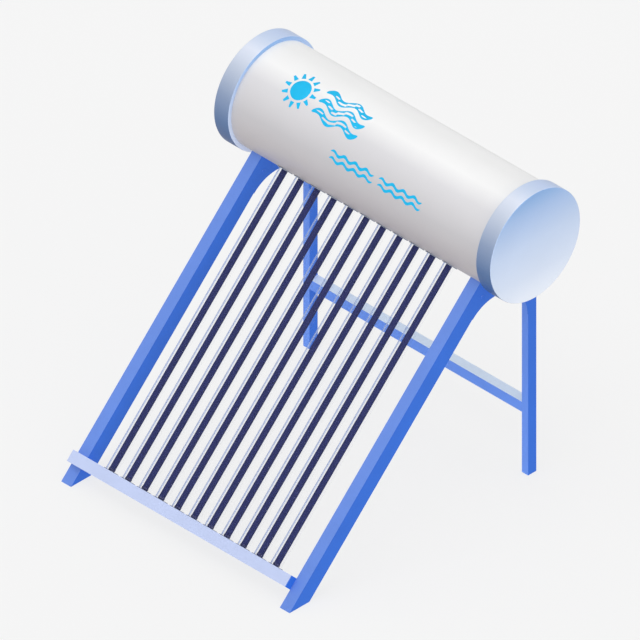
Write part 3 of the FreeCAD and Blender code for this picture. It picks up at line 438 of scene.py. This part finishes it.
def zinc_coat(name):
    """Plated steel: one grey for each crystal, and a roughness that follows it."""
    material, tree, shader = finish_base(name, "#c2c6cc", 0.38, metallic=1.0)
    place = add_node(tree, "ShaderNodeTexCoord")
    crystals = add_node(tree, "ShaderNodeTexVoronoi", {"Vector": place.outputs["Object"]},
                        Scale=1 / CRYSTAL)
    shade = colours(tree, crystals.outputs["Color"], [(0, "#a9adb4"), (1, "#d6d9de")])
    tree.links.new(shade, shader.inputs["Base Color"])
    tree.links.new(spread(tree, crystals.outputs["Color"], 0.3, 0.48, 0, 1), shader.inputs["Roughness"])
    relief(tree, shader, grain(tree, 3), 0.02)
    return material


zinc = zinc_coat("zinc_plate")
# EPDM rubber, moulded: matt black, with the fine grain of its mould.
black_rubber = coat("black_rubber", "#26272b", 0.8, 1.5, 0.08, cloud_mm=30)
for name in nodes:
    if name.startswith("foot_plate"):
        dress(eased(f"plated_{name}", name, 0.0008), zinc, "heater", name)
for name in ("frame_nuts", "tank_studs"):
    dress(eased(f"plated_{name}", name, 0.0005), zinc, "heater", name)
dress(eased("painted_frame_bolts", "frame_bolts", 0.0005), frame_paint, "heater", "frame_bolts",
      slot="frame_blue")
for name in ("saddle_pad_left", "saddle_pad_right"):
    dress(eased(f"soft_{name}", name, 0.0008), black_rubber, "heater", name)

# %% [markdown]
# ## Tank
# The shell is rolled from coated sheet and closed by a lock seam along its back. The plain roll
# keeps its engineering shape and the seam is laid on it. Its enamel colour is a ramp over the
# angle round the tank axis, 0 at the back, a quarter on top, a half in front, and it holds
# painted light: palest over the top, a painted highlight, and greyer underneath, a painted shade.
# The bands of the caps are the same enamel in blue, with the same painted light: palest just in
# front of the top and deepest underneath.


# %% Tank finishes
def round_tank(tree):
    """Share of a turn round the tank axis, from the back over the top: atan2(z, y) / 2 pi."""
    place = add_node(tree, "ShaderNodeTexCoord")
    parts = add_node(tree, "ShaderNodeSeparateXYZ", {"Vector": place.outputs["Object"]})
    back = add_node(tree, "ShaderNodeMath", {0: parts.outputs["Y"]}, operation="SUBTRACT")
    back.inputs[1].default_value = tank_centre.y
    rise = add_node(tree, "ShaderNodeMath", {0: parts.outputs["Z"]}, operation="SUBTRACT")
    rise.inputs[1].default_value = tank_centre.z
    angle = add_node(tree, "ShaderNodeMath", {0: rise.outputs[0], 1: back.outputs[0]},
                     operation="ARCTAN2")
    return spread(tree, angle.outputs[0], -0.5, 0.5, -np.pi, np.pi)


def enamel(name, stops, roughness, **settings):
    """Sheet enamel whose colour is a ramp round the tank axis, with painted light and shade in it; stops
    are shares of a turn.
    """
    material, tree, shader = finish_base(name, stops[0][1], roughness, **settings)
    turn = add_node(tree, "ShaderNodeMath", {0: round_tank(tree)}, operation="FRACT")
    clouded(tree, shader, colours(tree, turn.outputs[0], stops), 200, 0.012)
    worn(tree, shader, 14, roughness * 0.9, roughness * 1.15, 0.02, stretch=(0.15, 1, 1))
    return material


# painted light round the shell: a painted highlight over the top, painted shade underneath
SHELL_SHADE_STOPS = [(0.0, "#e6e6e8"), (0.16, "#f5f5f5"), (0.22, "#ededed"), (0.30, "#eeeeee"),
               (0.36, "#d4d3d6"), (0.46, "#c3c1c4"), (0.56, "#c8c2c3"), (0.75, "#bab3b6"),
               (1.0, "#e6e6e8")]
# painted light round the cap band: a painted highlight just in front of the top, painted shade underneath
BAND_SHADE_STOPS = [(0.0, "#b4c6e6"), (0.2, "#bccdec"), (0.25, "#c4d2ea"), (0.30, "#d8dfee"),
              (0.36, "#b9c3d5"), (0.44, "#8798b6"), (0.52, "#5e7aa6"), (0.60, "#436299"),
              (0.75, "#40609a"), (1.0, "#b4c6e6")]
shell_enamel = enamel("shell_enamel", SHELL_SHADE_STOPS, 0.4, Specular_IOR_Level=0.35)
band_enamel = enamel("band_enamel", BAND_SHADE_STOPS, 0.35, Specular_IOR_Level=0.35)


def face_enamel(name):
    """Blue enamel of a cap's face: a ramp straight down the disc, from its top to its bottom, darker at the
    top and paler at the bottom, a painted reflection.
    """
    material, tree, shader = finish_base(name, "#c5d3ed", 0.35, Specular_IOR_Level=0.35)
    place = add_node(tree, "ShaderNodeTexCoord")
    offset = add_node(tree, "ShaderNodeVectorMath", {0: place.outputs["Object"]}, operation="SUBTRACT")
    offset.inputs[1].default_value = tank_centre
    fall = add_node(tree, "ShaderNodeVectorMath", {0: offset.outputs["Vector"]}, operation="DOT_PRODUCT")
    fall.inputs[1].default_value = (0, 0, -1)
    share = spread(tree, fall.outputs["Value"], 0, 1, -cap_radius, cap_radius)
    # painted reflection: darker at the top of the face, paler at its bottom
    ramp = colours(tree, share, [(0.0, "#84a8d8"), (0.06, "#8fb0dc"), (0.15, "#a0bae1"), (0.45, "#c1d1eb"),
                                 (0.75, "#d2ddf0"), (1.0, "#e7edf8")])
    clouded(tree, shader, ramp, 150, 0.012)
    worn(tree, shader, 12, 0.32, 0.42, 0.02)
    return material


cap_face = face_enamel("cap_face_enamel")

# %% [markdown]
# An end cap is a pressed pan. A bevelled disc would do from afar, but a turned profile gives a
# true rolled edge and one closed wall: it goes from the middle of the face out to the rim, round
# the rolled edge, along the band, round the folded lip and back inside. One surface carries two
# finishes: the face looks along X, and the band looks away from the axis.

# %% Tank pieces
SHEET, ROLLED_EDGE = 0.002, 0.004
for side, sign in (("left", -1), ("right", 1)):
    low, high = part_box(f"end_cap_{side}")
    depth = high.x - low.x
    outer_face = Vector((sign * max(abs(low.x), abs(high.x)), tank_centre.y, tank_centre.z))
    path = soft([(0, 0), (cap_radius, 0), (cap_radius, depth), (shell_radius, depth),
                 (shell_radius, depth - SHEET), (cap_radius - SHEET, depth - SHEET),
                 (cap_radius - SHEET, SHEET), (0, SHEET)], ROLLED_EDGE, steps=5)
    cap = turned(f"cap_{side}", path, outer_face, (-sign, 0, 0), segments=160)
    dress(cap, band_enamel, "heater", f"end_cap_{side}")
    cap.data.materials.append(cap_face)
    facing = np.array([abs(face.normal.x) > 0.5 for face in cap.data.polygons])
    cap.data.polygons.foreach_set("material_index", facing.astype(int))

repaint(shell_enamel, "outer_shell")
nodes["outer_shell"].data.polygons.foreach_set(
    "use_smooth", np.ones(len(nodes["outer_shell"].data.polygons), bool))


def on_shell(u, v, height):
    """Points on the shell: u along X, v up its front as an arc from level with the axis."""
    angle = v / shell_radius
    radius = shell_radius + height
    return np.stack([u + 0 * angle, tank_centre.y - radius * np.cos(angle),
                     tank_centre.z + radius * np.sin(angle)], axis=-1)


SEAM_WIDTH, SEAM_RISE, SEAM_HALF = 0.014, 0.0012, 0.62
SEAM_PLACE = np.radians(205)  # measured as v is: 25 degrees under the level of the axis, at the back
seam_profile = np.array([-0.5, -0.42, -0.3, 0.3, 0.42, 0.5]) * SEAM_WIDTH
seam_height = np.array([-0.5, 0.6, 1, 1, 0.6, -0.5]) * SEAM_RISE
seam_x = np.linspace(-SEAM_HALF, SEAM_HALF, 40)
seam_v = (SEAM_PLACE * shell_radius + seam_profile)[None, :] + 0 * seam_x[:, None]
seam = skin("lock_seam", on_shell(seam_x[:, None] + 0 * seam_v, seam_v, seam_height[None, :] + 0 * seam_v),
            closed_columns=False)
dress(seam, shell_enamel, "heater", slot="shell_white")
print("cap radius", round(cap_radius, 4), "seam length", 2 * SEAM_HALF)

# %% [markdown]
# The decals are thin printed film. A sun with short rays and three waves of warm water stand at
# the left; two pairs of finer waves run on below them towards the middle. They could be drawn in
# the enamel, but a real film has an edge, so each is laid out flat and then wrapped round the
# shell, where it follows the curve.


# %% Decals
FILM = 0.0004
# Printed vinyl film: an even, slightly glossy colour with hardly any grain.
film_ink = coat("film_ink", "#00b4e6", 0.45, 4, 0.01, cloud_mm=60, Specular_IOR_Level=0.3)


def film(name, u, v, edge, closed=False):
    """Wraps flat points round the shell; edge is 1 where the film lies on and 0 at its rim."""
    dress(skin(name, on_shell(u, v, FILM * edge), closed_columns=closed), film_ink, "heater")


def wave(name, start, length, middle, rise, width, waves):
    """Wavy stripe: v = middle + rise sin(2 pi waves s), tapered to a point at both ends."""
    s = np.linspace(0, 1, 40 * waves)[:, None]
    half = width / 2 * np.sqrt(np.clip(1 - np.abs(2 * s - 1) ** 6, 0, 1))
    sides = np.array([-1, -0.97, 0.97, 1])[None, :]
    v = middle + rise * np.sin(2 * np.pi * waves * s) + half * sides
    film(name, start + length * s + 0 * v, v, (np.abs(sides) < 1) + 0 * v)


# %% Sun and waves
SUN_U, SUN_V, DISC = -0.392, 0.232, 0.042
RAYS, RAY_START, RAY_END, RAY_HALF = 12, 0.051, 0.075, (0.009, 0.004)
bearing = np.linspace(0, 2 * np.pi, 72, endpoint=False)[None, :]
ring = np.array([0, 0.5, 0.97, 1])[:, None]
film("sun_disc", SUN_U + DISC * ring * np.cos(bearing), SUN_V + DISC * ring * np.sin(bearing),
     (ring < 1) + 0 * bearing, closed=True)
out = np.linspace(RAY_START, RAY_END, 6)[:, None]
breadth = np.array([-1, -0.95, 0.95, 1])[None, :]
half = breadth * np.interp(out, (RAY_START, RAY_END), RAY_HALF)
for index in range(RAYS):
    beam = index * 2 * np.pi / RAYS
    film(f"sun_ray_{index + 1:02d}", SUN_U + out * np.cos(beam) - half * np.sin(beam),
         SUN_V + out * np.sin(beam) + half * np.cos(beam), (np.abs(breadth) < 1) + 0 * out)
for index in range(3):
    wave(f"warm_wave_{index + 1}", start=-0.3, length=0.235, middle=0.277 - 0.045 * index, rise=0.012,
         width=0.027, waves=2)
for index, start in enumerate((-0.145, 0.1)):
    for line, middle in enumerate((0.094, 0.068)):
        wave(f"fine_wave_{index + 1}_{line + 1}", start, length=0.22, middle=middle, rise=0.006,
             width=0.013, waves=4)
print("decals:", RAYS + 1 + 3 + 4)

# %% [markdown]
# ## Tubes
# Each tube is a clear glass jacket round a coated one, like a vacuum flask. Both are turned from
# one profile with a real wall and a round end. The coating is a deep blue that takes in
# sunlight. Clear glass is seen mostly at its edges, where the eye looks through more of it.
# Refraction would blur the coated tube behind it, so the glass is drawn with alpha instead,
# which rises from the middle of the tube to its left rim and leaves the right one clear: the pale
# blue line on the left rim alone is a painted reflection.


# %% Tube finishes
tube_pitch = tube_ends("glass_tube_02")[0].x - tube_ends("glass_tube_01")[0].x


def clear_glass(name):
    """Borosilicate glass, drawn: alpha by how far its wall turns away, times a share across the tube that
    keeps the tint to the left rim, a painted reflection.
    """
    material, tree, shader = finish_base(name, "#a9bbe4", 0.06, Specular_IOR_Level=0.25)
    edge = add_node(tree, "ShaderNodeLayerWeight", Blend=0.5)
    place = add_node(tree, "ShaderNodeTexCoord")
    parts = add_node(tree, "ShaderNodeSeparateXYZ", {"Vector": place.outputs["Object"]})
    pitches = spread(tree, parts.outputs["X"], 0.5, 1.5, 0, tube_pitch, clamp=False)
    across_tube = add_node(tree, "ShaderNodeMath", {0: pitches}, operation="FRACT")
    rim = spread(tree, edge.outputs["Facing"], 0, 1, 0.25, 0.55)
    # painted reflection: the tinted rim shows on the left half of each tube only
    left_rim_reflection = spread(tree, across_tube.outputs[0], 1, 0, 0.36, 0.5)
    alpha = add_node(tree, "ShaderNodeMath", {0: rim, 1: left_rim_reflection}, operation="MULTIPLY")
    scaled = spread(tree, alpha.outputs[0], 0.015, 0.45, 0, 1)
    tree.links.new(scaled, shader.inputs["Alpha"])
    streaks = grain(tree, 3, stretch=(1, 0.02, 0.02))
    tree.links.new(spread(tree, streaks, 0.03, 0.1), shader.inputs["Roughness"])
    return material


glass = clear_glass("clear_glass")
# Sputtered nitride coating on glass: deep blue, nearly matt because light goes in and stays in.
coating = coat("absorber_coating", "#222557", 0.45, 4, 0.01, cloud_mm=80, stretch=(1, 0.1, 0.1),
               Specular_IOR_Level=0.1)
# Spring steel, tempered until it turns blue.
blued_steel = coat("blued_steel", "#2b2c58", 0.4, 2, 0.02, metallic=0.3, stretch=(1, 0.1, 0.1))
GLASS_WALL, CLIP_LENGTH, CLIP_GAP, CLIP_WALL = 0.0016, 0.008, 0.0002, 0.001


def flask(name, centre, axis, length, radius, wall, segments):
    """Closed glass wall: outer round end, straight side, fire-polished mouth, and back inside."""
    inner = radius - wall
    mouth = np.linspace(0, np.pi, 7)[1:-1]
    lip = np.stack([radius - wall / 2 + wall / 2 * np.cos(mouth),
                    length - wall / 2 + wall / 2 * np.sin(mouth)], axis=1)
    profile = np.concatenate([rounded_end(radius), [(radius, length - wall / 2)], lip,
                              [(inner, length - wall / 2)], rounded_end(inner)[::-1]])
    return turned(name, profile, centre, axis, segments=segments)


# %% Tube pieces
for index in range(1, TUBES + 1):
    body = f"tube_{index:02d}"
    bottom, mouth, radius = tube_ends(f"glass_{body}")
    jacket = flask(f"jacket_{index:02d}", bottom, slope, (mouth - bottom).length, radius, GLASS_WALL, 64)
    dress(jacket, glass, body, f"glass_{body}")
    core_bottom, core_mouth, core_radius = tube_ends(f"absorber_{body}")
    core = flask(f"core_{index:02d}", core_bottom, slope, (core_mouth - core_bottom).length, core_radius,
                 GLASS_WALL, 48)
    dress(core, coating, body, f"absorber_{body}")
    clip_in, clip_out = core_radius + CLIP_GAP, core_radius + CLIP_GAP + CLIP_WALL
    clip_ring = soft([(clip_in, 0), (clip_out, 0), (clip_out, CLIP_LENGTH), (clip_in, CLIP_LENGTH)],
                     0.0004, closed=True)
    clip = turned(f"getter_clip_{index:02d}", clip_ring, core_bottom - slope * 0.002, slope, closed=True,
                  segments=40)
    dress(clip, blued_steel, body, slot="absorber_coating")
print(TUBES, "tubes,", round(tube_pitch, 4), "m apart")

# %% [markdown]
# Each jacket stands in a moulded cup in the tail rail and slides through a dust ring and a
# silicone seal in the tank. The rings and cups keep their engineering shapes, and a wide bevel
# gives them their moulded corners: rubber has no sharp edge.

# %% Rings and cups
# EPDM, silicone and glass-filled nylon: matt, with the fine bloom or sparkle of their moulds.
dust_rubber = coat("dust_rubber", "#8f97a8", 0.75, 2, 0.06, cloud_mm=25)
silicone = coat("silicone", "#c4694a", 0.6, 3, 0.04, cloud_mm=25)
cup_plastic = coat("cup_plastic", "#3a4058", 0.55, 1.2, 0.04, cloud_mm=40)
repaint(silicone, "tube_seals")
dress(eased("soft_dust_rings", "dust_rings", 0.0008, steps=3), dust_rubber, "heater", "dust_rings")
dress(eased("moulded_tail_cups", "tail_cups", 0.0006), cup_plastic, "heater", "tail_cups")
print("rings and cups are on")

# %% [markdown]
# ## Pipe ports
# The nipples carry a pipe thread. Bump would leave its outline smooth, so it is a real shape. A
# thread is a helix, so its surface is a turned one whose radius falls by the depth times a
# triangle wave of distance / pitch minus turn / 2 pi.


# %% Ports
PITCH, THREAD_DEPTH, THREAD_RUN, FADE = 0.0018, 0.0011, 0.026, 0.002
PIPE_RADIUS, PIPE_BORE, COLLAR = 0.0105, 0.0075, 0.004
END_DROP, END_RUN, BORE_EASE = 0.0018, 0.001, 0.0006  # chamfers at the end of the pipe
CONE = 1.08  # of the flats, where the corners start to be turned off
# Stainless steel, brushed: fine scratches, drawn out along Y, spread its highlights.
stainless = coat("stainless", "#c6c9cd", 0.3, 1.5, 0.02, metallic=1.0, stretch=(1, 0.08, 1))
# Brass, machined: warm and a little dulled. Chrome, polished: nearly a mirror.
brass = coat("brass", "#c9a24e", 0.32, 3, 0.03, metallic=1.0)
chrome = coat("chrome", "#dfe2e6", 0.12, 5, 0.004, metallic=1.0)


def threaded_pipe(name, start, axis, length, radius, bore):
    """Pipe with a thread on its last stretch: r = R - depth |2 frac(along / pitch - turn / 2 pi) - 1|."""
    along = np.concatenate([[0, length - THREAD_RUN],
                            np.linspace(length - THREAD_RUN, length - END_RUN, 140)[1:]])[:, None]
    turn = np.linspace(0, 2 * np.pi, 48, endpoint=False)[None, :]
    phase = (along / PITCH - turn / (2 * np.pi)) % 1
    cut = np.clip((along - (length - THREAD_RUN)) / FADE, 0, 1)
    outside = radius - THREAD_DEPTH * np.abs(2 * phase - 1) * cut
    ends = [(radius - END_DROP, length), (bore + BORE_EASE, length), (bore, length - BORE_EASE), (bore, 0)]
    close_r, close_a = np.array(ends).T[:, :, None]
    radius_grid = np.concatenate([outside, close_r + 0 * turn])
    along_grid = np.concatenate([along + 0 * turn, close_a + 0 * turn])
    return skin(name, swept(start, axis, radius_grid, along_grid, turn + 0 * radius_grid),
                closed_rows=True)


def hex_collar(name, start, axis, height, corner, hole):
    """Hexagon with turned-off corners: r = min(flat / cos(angle within a side), cone)."""
    # (share of the height, share of the cone), which is narrower at both ends
    rows = np.array([(0, 1.0), (0.12, 1.04), (0.88, 1.04), (1, 1.0)])
    turn = np.linspace(0, 2 * np.pi, 96, endpoint=False)[None, :]
    flat = corner * np.cos(np.pi / 6)
    side = flat / np.cos((turn % (np.pi / 3)) - np.pi / 6)
    radius = np.minimum(side, flat * rows[:, 1:] * CONE)
    grid_r = np.concatenate([hole + 0 * turn, radius, hole + 0 * turn])
    grid_a = np.concatenate([[[0.0]], rows[:, :1] * height, [[height]]]) + 0 * turn
    return skin(name, swept(start, axis, grid_r, grid_a, turn + 0 * grid_r), closed_rows=True)


backward = Vector((0, 1, 0))
for name in ("cold_inlet", "hot_outlet"):
    low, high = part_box(name)
    middle = (low + high) / 2
    start = Vector((middle.x, tank_centre.y + shell_radius, middle.z))
    pipe = threaded_pipe(f"{name}_nipple", start, backward, high.y - start.y, PIPE_RADIUS, PIPE_BORE)
    dress(pipe, stainless, "heater", name)
    collar = hex_collar(f"{name}_collar", start, backward, COLLAR, (high.z - low.z) / 2 / np.cos(np.pi / 6),
                        PIPE_RADIUS)
    dress(collar, stainless, "heater", name)
dress(eased("steel_air_vent", "air_vent", 0.0004), stainless, "heater", "air_vent")
dress(eased("brass_vent_cap", "vent_cap", 0.0012, steps=3), brass, "heater", "vent_cap")
print("thread turns:", round(THREAD_RUN / PITCH, 1))

# %% [markdown]
# ## Drain valve
# The body is a brass turning with a plain nozzle that a hose is clamped to. The lever turns a
# quarter turn with its ball and stem, and wears a soft blue sleeve over its far half. The sleeve
# was dipped on, so it is the lever's own outline made a little larger and carried along it.

# %% Drain valve
dress(eased("steel_drain_pipe", "drain_pipe", 0.0004), stainless, "heater", "drain_pipe")
dress(eased("brass_valve_body", "drain_valve_body", 0.0008, steps=3), brass, "heater", "drain_valve_body")
repaint(chrome, "drain_valve_ball", "drain_valve_stem")
dress(eased("plated_lever", "drain_valve_handle", 0.0007), zinc, "drain_handle", "drain_valve_handle",
      slot="zinc")
dress(eased("plated_lever_nut", "drain_valve_nut", 0.0006), zinc, "drain_handle", "drain_valve_nut")
# Soft PVC, dipped: matt, with a slight orange peel.
sleeve_vinyl = coat("sleeve_vinyl", "#2c5fc9", 0.55, 1.5, 0.05, cloud_mm=20)
low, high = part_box("drain_valve_handle")
SLEEVE_WALL, BARE_SHARE = 0.0014, 0.48
sleeve_start = low.x + (high.x - low.x) * BARE_SHARE
half_y = (high.y - low.y) / 2 + SLEEVE_WALL
half_z = (high.z - low.z) / 2 + SLEEVE_WALL
section = soft([(-half_y, -half_z), (half_y, -half_z), (half_y, half_z), (-half_y, half_z)], 0.002,
               closed=True, steps=6)
# (share of the length, share of the section), with one grip groove near the middle
stations = [(0.0, 0.0), (0.0, 0.9), (0.001, 1.0), (0.4, 1.0), (0.43, 0.94), (0.46, 1.0), (0.98, 1.0),
            (1.0, 0.9), (1.0, 0.0)]
sleeve_length = high.x + SLEEVE_WALL - sleeve_start
share, size = np.array(stations).T
grid = np.stack([
    (sleeve_start + sleeve_length * share)[:, None] + 0 * section[None, :, 0],
    (low.y + high.y) / 2 + size[:, None] * section[None, :, 0],
    (low.z + high.z) / 2 + size[:, None] * section[None, :, 1]], axis=-1)
dress(skin("lever_sleeve", grid), sleeve_vinyl, "drain_handle", slot="handle_paint")
print("sleeve length", round(sleeve_length, 4))

# %% [markdown]
# ## Hidden parts
# The foam and the inner tank can't be seen once the caps are on, but they get their own finish,
# so that a section view reads as the real tank does.

# %% Hidden parts
# Polyurethane foam: matt and pale yellow, with open cells of about 2 mm.
foam = coat("foam", "#e8dca8", 0.9, 2, 0.3, cloud_mm=40)
repaint(foam, "insulation")
repaint(stainless, "inner_tank")
print("inside: foam and inner tank")
